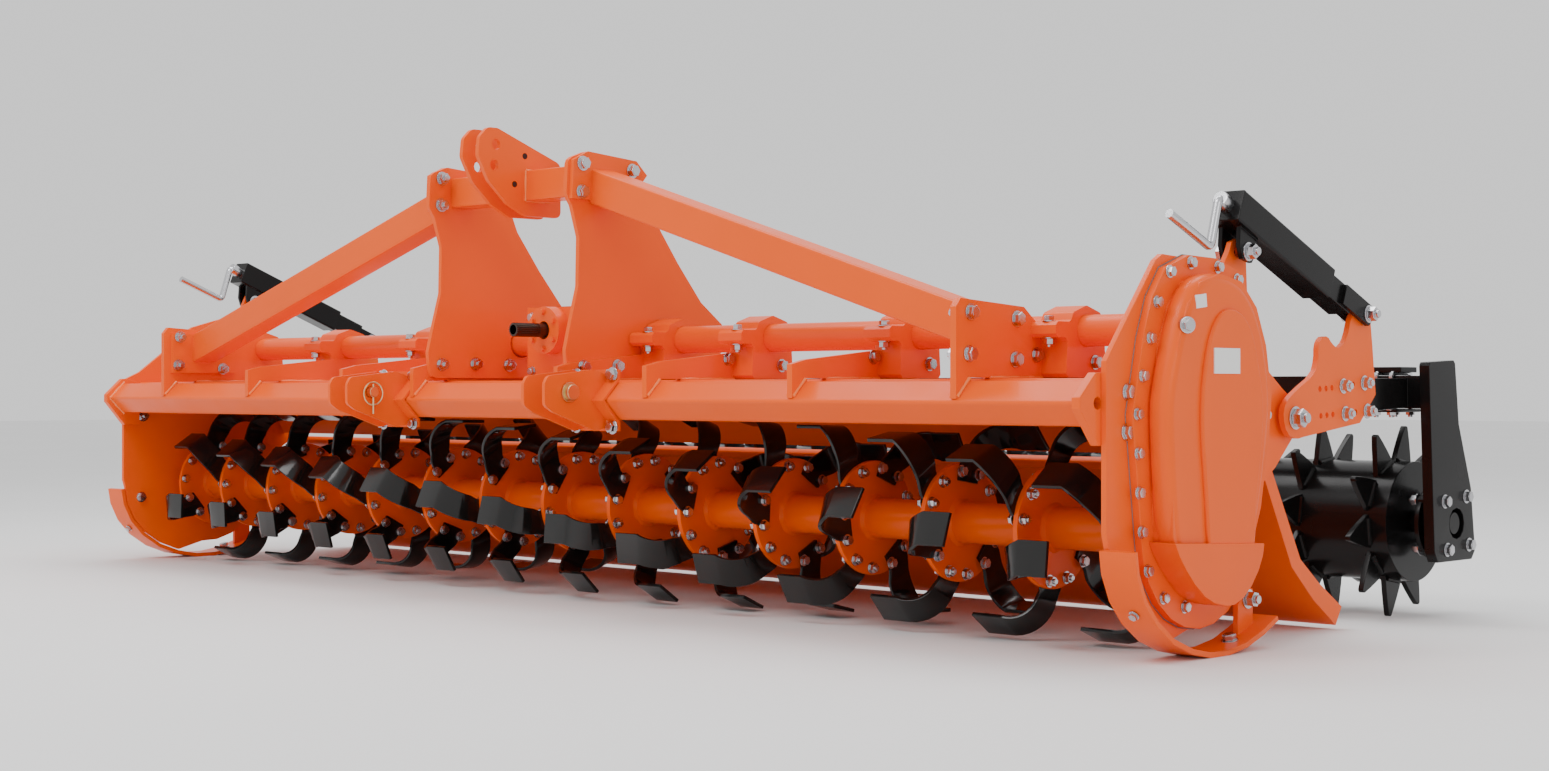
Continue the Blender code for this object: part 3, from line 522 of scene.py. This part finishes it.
# ---------------------------------------------------------------- jacks' cranks
jd = Vector((0.0, 2.0, -0.83)).normalized()
JX = 7.31
for s, side in ((1, "right"), (-1, "left")):
    te = Vector((JX, 2.54, 1.80)) - jd * 2.16
    te = te - jd * 0.0012
    c1 = te - jd * 0.14
    drop = Vector((0.0, -0.30, -0.95)).normalized()
    c2 = c1 + drop * 0.42
    c3 = c2 - jd * 0.62
    fl = lambda v: at(s * v.x, v.y, v.z)
    bm = tube_path(round_path([fl(te), fl(c1), fl(c2), fl(c3)], 0.012), 0.038 * P, 16)
    new_obj("crank_bar_" + side, bm, [ZINC], "jack_outer_" + side, 40.0, ("crank_" + side,))

# ---------------------------------------------------------------- gear case: domed cover, rim and fittings
cover = [(-0.70, 0.95), (-0.66, 1.18), (-0.555, 1.50), (-0.44, 1.80), (-0.26, 2.01), (0.05, 2.07), (0.36, 2.0), (0.58, 1.80),
         (0.72, 1.50), (0.80, 1.10), (0.76, 0.75), (0.64, 0.20), (0.56, 0.02), (0.54, -0.14), (0.48, -0.27), (0.39, -0.37), (0.28, -0.45),
         (0.17, -0.49), (0.05, -0.495), (-0.09, -0.465), (-0.23, -0.405), (-0.365, -0.30), (-0.47, -0.19), (-0.55, -0.09), (-0.62, 0.02)]
acc = Acc()
b = prism(smooth_loop(cover, 3), 7.36, 7.572)
acc.add(tpl_of(beveled(b, 0.022, 5, 50)))
panel = [(-0.20, 0.30), (-0.28, 0.95), (-0.20, 1.45), (-0.05, 1.72), (0.16, 1.80), (0.40, 1.70), (0.52, 1.45), (0.62, 1.05), (0.60, 0.72),
         (0.50, 0.20)] + arc(0.16, 0.02, 0.34, 0, -180, 8)
b = prism(smooth_loop(panel, 3), 7.56, 7.603)
acc.add(tpl_of(beveled(b, 0.008, 5, 50)))
new_obj("case_cover_panel", acc.bm(), [ORANGE], "frame", 45.0)

acc = Acc()
acc.add(cyl(0.017, 0.012, 24, bev=0.003), axis_matrix(at(7.555, -0.43, 1.64), (0.86, -0.5, 0)), 0)
acc.add(hexbolt(1.0), axis_matrix(at(7.590, -0.452, 1.64), (0.86, -0.5, 0), 0.2, 0.020), 0)
acc.add(cube(0.003, 0.036, 0.026, 0.0003), Matrix.Translation(at(7.572, -0.24, 1.83)) @ Matrix.Rotation(0.12, 4, "X"), 1)
acc.add(cube(0.003, 0.090, 0.050, 0.0003), Matrix.Translation(at(7.607, 0.07, 1.37)), 1)
new_obj("case_fittings", acc.bm(), [ZINC, STICKER], "frame", 35.0)

# Gasket between the side plate and the case, which shows as a thin line.
rim = [(-0.86, 0.95), (-0.72, 1.55), (-0.60, 1.86), (-0.42, 2.09), (-0.10, 2.20), (0.30, 2.19), (0.62, 2.10),
       (0.80, 1.85), (0.92, 1.55), (1.04, 1.20), (1.06, 0.90), (0.97, 0.55), (0.90, 0.20)] + arc(0.05, 0.06, 0.80, 0, -180, 12)
cen = Vector((0.08, 0.75))
rim = [tuple(cen + (Vector(q) - cen) * 1.006) for q in rim]
new_obj("case_gasket", prism(rim, 7.297, 7.306), [GREY], "frame", 30.0)

# ---------------------------------------------------------------- roller arms, with their rows of holes
arm = [(1.30, 0.78), (1.24, 0.92), (1.28, 1.04), (1.45, 1.14), (1.74, 1.27), (1.80, 1.40), (1.80, 1.52), (1.86, 1.59),
       (1.95, 1.60), (2.02, 1.54), (2.10, 1.50), (2.20, 1.52), (2.28, 1.60), (2.34, 1.76), (2.42, 1.84), (2.54, 1.885),
       (2.64, 1.84), (2.68, 1.74), (2.79, 0.89), (1.60, 0.755), (1.44, 0.73)]
arm = smooth_loop(arm, 1)
rows_up = [(1.826, 1.150), (1.925, 1.155), (2.022, 1.160), (2.38, 1.190)]
rows_lo = [(1.842, 0.922), (1.94, 0.928), (2.038, 0.933), (2.42, 0.950)]
for sg, side in ((1, "right"), (-1, "left")):
    b = prism(arm, sg * 7.345, sg * 7.395, [circle(y, z, 0.026, 14) for y, z in rows_up + rows_lo] + [circle(2.54, 1.80, 0.045, 14)])
    old = bpy.data.objects["roller_arm_%s_look" % side]
    bpy.data.objects.remove(old, do_unlink=True)
    new_obj("roller_arm_%s_plate" % side, beveled(b, 0.0016), [ORANGE], "roller_lift_frame", 40.0, ("roller_arm_" + side,))

# ---------------------------------------------------------------- bolts
X = 7.37
for y, z in ((-.08, 2.14), (-.37, 2.06), (-.54, 1.82), (-.63, 1.54), (-.73, 1.25), (-.80, .96), (-.79, .66), (-.78, .36),
             (-.75, .06), (-.67, -.24), (-.46, -.46), (-.17, -.55), (.85, 1.53), (.58, 2.03), (1.00, .94), (.30, 2.12)):
    bolt((X, y, z), (1, 0, 0), 0.018)
bolt((7.42, .66, -.54), (1, 0, 0), 0.028, nut=True)
bolt((7.30, 1.077, .946), (1, 0, 0), 0.019)
for s, side in ((1, "right"), (-1, "left")):
    fr, lift, jo, ji = "frame", "roller_lift_frame", "jack_outer_" + side, "jack_inner_" + side
    bolt((s * 7.30, -.832, 1.127), (s, 0, 0), 0.024)
    bolt((s * 7.30, -.845, .823), (s, 0, 0), 0.024)
    bolt((s * 7.25, -.845, .823), (-s, 0, 0), 0.024, nut=True)
    bolt((s * 7.395, 1.42, .91), (s, 0, 0), 0.034, lift, True)
    for y, z in ((2.204, 1.176), (2.56, 1.203), (2.238, .939), (2.611, .959)):
        bolt((s * 7.395, y, z), (s, 0, 0), 0.023, lift, True)
    bolt((s * 7.45, 2.54, 1.80), (s, 0, 0), 0.027, ji, True)
    bolt((s * 7.27, 2.54, 1.80), (-s, 0, 0), 0.027, ji)
    bolt((s * 7.40, .70, 2.26), (s, 0, 0), 0.027, jo, True)
    bolt((s * 7.19, .70, 2.26), (-s, 0, 0), 0.027, jo)
    for y, z in ((3.582, .144), (3.987, .175), (3.627, -.291), (4.038, -.265)):
        bolt((s * 7.62, y, z), (s, 0, 0), 0.022, lift)
        bolt((s * 7.37, y, z), (-s, 0, 0), 0.022, lift, True)
    # mast plate: feet on the outer rib, head through the brace's plate
    for y, z in ((-.99, 1.36), (-.56, 1.37), (-.12, 1.36)):
        bolt((s * 1.16, y, z), (s, 0, 0), 0.024)
        bolt((s * 1.05, y, z + 0.04), (-s, 0, 0), 0.024, nut=True)
    for y, z in ((-.99, 3.30), (-1.00, 3.03), (-.36, 3.27)):
        bolt((s * 1.15, y, z), (s, 0, 0), 0.025)
        bolt((s * 1.05, y, z), (-s, 0, 0), 0.025, nut=True)
    for y, z in ((-1.13, 1.76), (-.54, 1.72), (-1.15, 1.43), (-.56, 1.39)):
        bolt((s * 6.01, y, z), (s, 0, 0), 0.024)
        bolt((s * 5.90, y, z), (-s, 0, 0), 0.024, nut=True)
    for xr, xe in ((1.10, 1.44), (2.34, 2.66), (4.16, 4.48), (5.95, 6.27)):
        xm = (xr + xe) / 2 + 0.04
        bolt((s * xm, -.29, 1.70), (0, 0, 1), 0.020)
        bolt((s * xm, -.29, 1.57), (0, 0, -1), 0.020, nut=True)
        if xr > 2:
            bolt((s * (xr + 0.06), -.28, 1.43), (s, 0, 0), 0.022)
        bolt((s * xe, .17, 1.37), (s, 0, 0), 0.022)
    # hitch brackets
    for z in (1.285, 0.80):
        bolt((s * 1.79, -1.17, z), (0, -1, 0), 0.024)
        bolt((s * 1.28, -1.17, z), (0, -1, 0), 0.022)
    # runners
    bolt((s * 7.43, -.925, -.555), (0, -.75, -.66), 0.015)
    bolt((s * 7.25, -.866, -.17), (-s, 0, 0), 0.022)
    bolt((s * 7.42, .40, -.858), (0, -.25, .97), 0.024)
painted = Acc()
for k in range(6):
    a = math.radians(60 * k + 30)
    painted.add(BOLT, axis_matrix(at(0.185 * math.cos(a), -0.52, 1.74 + 0.185 * math.sin(a)), (0, -1, 0), 0.3, 0.013))
for k in range(8):
    a = math.radians(45 * k)
    bolt((-7.46, 0.29 * math.cos(a), 0.29 * math.sin(a)), (-1, 0, 0), 0.018)
for sx in (-1, 1):
    for z in (1.33, 1.88):
        bolt((sx * 0.34, -.38, z), (0, -1, 0), 0.018)
new_obj("gearbox_bolts", painted.bm(), [ORANGE], "frame", 35.0)

# Small holes in the outer faces of the top-link cheeks, as dark discs of painted shade.
acc = Acc()
for s in (1, -1):
    for y, z in ((-.88, 3.45), (-1.01, 3.165)):
        acc.add(cyl(0.0075, 0.0006, 18), axis_matrix(at(s * 0.15, y, z), (s, 0, 0)))
new_obj("cheek_hole_shade_discs", acc.bm(), [HOLE_SHADE], "frame", 35.0)
for body, a in bolts.items():
    new_obj("bolts_" + body, a.bm(), [ZINC], body, 35.0)

# ---------------------------------------------------------------- hitch pins' heads and ring clips
acc = Acc()
for s in (1, -1):
    acc.add(cyl(0.095 * P, 0.025 * P, 24, bev=0.0015), axis_matrix(at(s * 1.712, -1.64, 1.12), (s, 0, 0)))
    acc.add(cyl(0.075 * P, 0.075 * P, 24, bev=0.003), axis_matrix(at(s * 1.712, -1.64, 1.12), (s, 0, 0)))
    ring = [at(s * 1.325, -1.64 + 0.115 * math.cos(t), 1.105 + 0.115 * math.sin(t)) for t in [2 * math.pi * k / 28 for k in range(28)]]
    acc.add(tpl_of(tube_path(ring, 0.0022, 8, closed=True)))
    acc.add(tpl_of(tube_path([at(s * 1.325, -1.64, 1.20), at(s * 1.325, -1.64, 0.90)], 0.0032, 8)))
new_obj("hitch_pin_clips", acc.bm(), [BRASS], "frame", 40.0)

# ---------------------------------------------------------------- jack caps and screws, U-bolts, roller bearings
for s, side in ((1, "right"), (-1, "left")):
    jn = Vector((0.0, 0.83, 2.0)).normalized()
    te = Vector((JX, 2.54, 1.80)) - jd * 2.16
    c = te - jd * 0.004
    R = Matrix((Vector((1, 0, 0)), jn, jd)).transposed().to_4x4()
    b = cube(0.262 * P, 0.262 * P, 0.022 * P, 0.001)
    acc = Acc()
    acc.add(b, Matrix.Translation(at(s * JX, c.y + jd.y * 0.010, c.z + jd.z * 0.010)) @ R)
    new_obj("jack_cap_" + side, acc.bm(), [BLACK], "jack_outer_" + side, 35.0)
    acc = Acc()
    acc.add(cyl(0.070 * P, 0.125 * P, 24, bev=0.002), axis_matrix(at(s * JX, te.y - 0.004 * jd.y, te.z - 0.004 * jd.z), -jd))
    new_obj("crank_hub_" + side, acc.bm(), [ZINC], "jack_outer_" + side, 35.0)
    acc = Acc()
    for x in (7.05, 7.20):
        q = [at(s * x, 3.395, 0.93), at(s * x, 3.395, 1.295), at(s * x, 3.745, 1.295), at(s * x, 3.745, 0.93)]
        acc.add(tpl_of(tube_path(round_path(q, 0.010), 0.0055, 12)))
        for y in (3.395, 3.745):
            acc.add(NUT, axis_matrix(at(s * x, y, 0.965), (0, 0, -1), 0.3, 0.018))
    new_obj("beam_u_bolts_" + side, acc.bm(), [ZINC], "roller_lift_frame", 40.0)
    acc = Acc()
    acc.add(cube(0.30 * P, 0.30 * P, 0.05 * P, 0.002), Matrix.Translation(at(s * 7.13, 3.57, 1.325)))
    acc.add(cube(0.30 * P, 0.44 * P, 0.03 * P, 0.002), Matrix.Translation(at(s * 7.13, 3.57, 0.955)))
    acc.add(cyl(0.33 * P, 0.05 * P, 40, bev=0.002), axis_matrix(at(s * 7.42, 3.81, -0.062), (-s, 0, 0)))
    acc.add(cyl(0.24 * P, 0.16 * P, 36, bev=0.003), axis_matrix(at(s * 7.52, 3.81, -0.062), (-s, 0, 0)))
    for y, z in ((3.582, .144), (3.987, .175), (3.627, -.291), (4.038, -.265)):
        acc.add(cyl(0.010, 0.15 * P, 16), axis_matrix(at(s * 7.52, y, z), (-s, 0, 0)))
    new_obj("roller_bearing_" + side, acc.bm(), [BLACK], "roller_lift_frame", 40.0)

# ---------------------------------------------------------------- welds
acc = Acc()


def weld(a, b, r=0.0050):
    pa, pb = at(*a), at(*b)
    n = max(2, int((pb - pa).length / 0.006))
    pts = [pa.lerp(pb, k / n) for k in range(n + 1)]
    cu = tube_path(pts, r, 8)
    for v in cu.verts:
        t = (v.co - pa).dot((pb - pa).normalized())
        near = pa + (pb - pa).normalized() * t
        v.co = near + (v.co - near) * (1 + 0.18 * math.sin(t * 900.0))
    acc.add(tpl_of(cu))


BY, BZ, BD = -1.136, 1.043, 0.187
for s in (1, -1):
    for x0, x1 in ((1.10, 1.16), (2.34, 2.40), (4.16, 4.22), (5.95, 6.01)):
        for x in (x0, x1):
            weld((s * x, BY - BD + 0.03, BZ + 0.045), (s * x, BY - 0.01, BZ + BD + 0.005))
            weld((s * x, -0.88, 1.243), (s * x, -0.20, 1.243), 0.0035)
    weld((s * 7.17, BY, BZ + BD), (s * 7.17, BY - BD, BZ))
    weld((s * 7.17, BY - BD, BZ), (s * 7.17, BY, BZ - BD))
    for z in (3.01, 3.31):
        weld((s * 0.15, -0.87, z), (s * 0.15, -0.57, z), 0.004)
    weld((s * 0.15, -0.87, 3.01), (s * 0.15, -0.87, 3.31), 0.004)
    weld((s * 1.67, -1.175, 0.84), (s * 1.67, -1.175, 0.99), 0.004)
    weld((s * 1.71, -1.175, 0.84), (s * 1.71, -1.175, 0.99), 0.004)
new_obj("weld_beads", acc.bm(), [WELD_PAINTED_HIGHLIGHT], "frame", 60.0)

# ---------------------------------------------------------------- stage
bm = bmesh.new()
bmesh.ops.create_grid(bm, x_segments=1, y_segments=1, size=30)
floor = new_obj("floor", bm, [], None)
fm, fnt, fb = nodes_of("floor_pale")
fnt.links.new(ramp(fnt, noise(fnt, 0.7), (0.86, 0.86, 0.86), (0.88, 0.88, 0.88)), fb.inputs["Base Color"])
fb.inputs["Roughness"].default_value = 0.7
floor.data.materials.append(fm)

world = bpy.data.worlds.new("studio")
bpy.context.scene.world = world
world.use_nodes = True
bg = world.node_tree.nodes["Background"]
bg.inputs["Color"].default_value = (1, 1, 1, 1)
bg.inputs["Strength"].default_value = 1.0


def area(name, loc, target, size, power, sy=None):
    l = bpy.data.lights.new(name, "AREA")
    l.shape = "RECTANGLE"
    l.size, l.size_y, l.energy = size, sy or size, power
    o = bpy.data.objects.new(name, l)
    bpy.context.scene.collection.objects.link(o)
    o.location = loc
    o.rotation_euler = (Vector(target) - Vector(loc)).to_track_quat("-Z", "Y").to_euler()
    return o


area("key", (0.5, -3.6, 4.6), (0, 0, 0.4), 3.6, 110, 1.4)
area("top", (-0.5, 0.6, 4.6), (0, 0, 0), 5.0, 150, 2.0)
area("side", (5.6, -1.6, 2.4), (1.7, 0, 0.5), 1.6, 18, 1.2)

cam = bpy.data.cameras.new("camera")
cam.lens, cam.sensor_width = 50.97, 36.0
co = bpy.data.objects.new("camera", cam)
bpy.context.scene.collection.objects.link(co)
co.location = (4.2606, -4.0094, 0.5221)
co.rotation_euler = (math.pi / 2 + 0.0017, 0, 0.7734)
bpy.context.scene.camera = co
